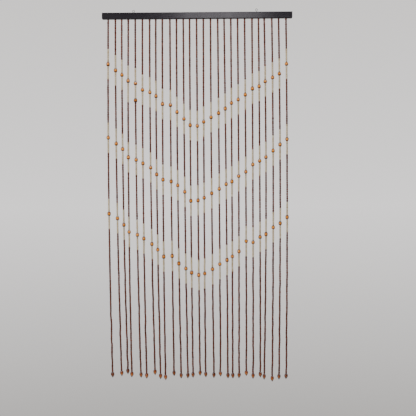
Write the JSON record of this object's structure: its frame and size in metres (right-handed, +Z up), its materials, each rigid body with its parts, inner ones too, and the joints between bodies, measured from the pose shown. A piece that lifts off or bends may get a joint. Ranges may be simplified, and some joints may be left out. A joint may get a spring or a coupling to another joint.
{
  "type": "bead curtain with head rail",
  "caption": "Hanging bead curtain: brown bead strings with cream chevrons, amber accent beads and amber drops on a black head rail with wire screw eyes, to screen a doorway or divide a room.",
  "frame": {"origin": "middle of the head rail's flat back face", "axes": "+Z up, along the hanging strings; +Y out of the rail's back, towards the wall; +X along the rail, to the right seen from the front"},
  "size_m": [0.9, 0.018, 1.7665],
  "materials": {
    "black_lacquer": "black lacquer over fine grain, half gloss",
    "bright_wire": "plated steel wire, bright",
    "brown_beads": "stained dark reddish brown, satin",
    "cream_beads": "bare pale wood, satin",
    "amber_beads": "amber, darker at the ends, glossy",
    "bead_string": "thin twisted dark brown cord"
  },
  "bodies": {
    "root": {"head_rail": "black_lacquer", "screw_eye_left": "bright_wire", "screw_eye_right": "bright_wire", "bead_strands": "brown_beads"}
  },
  "joints": []
}
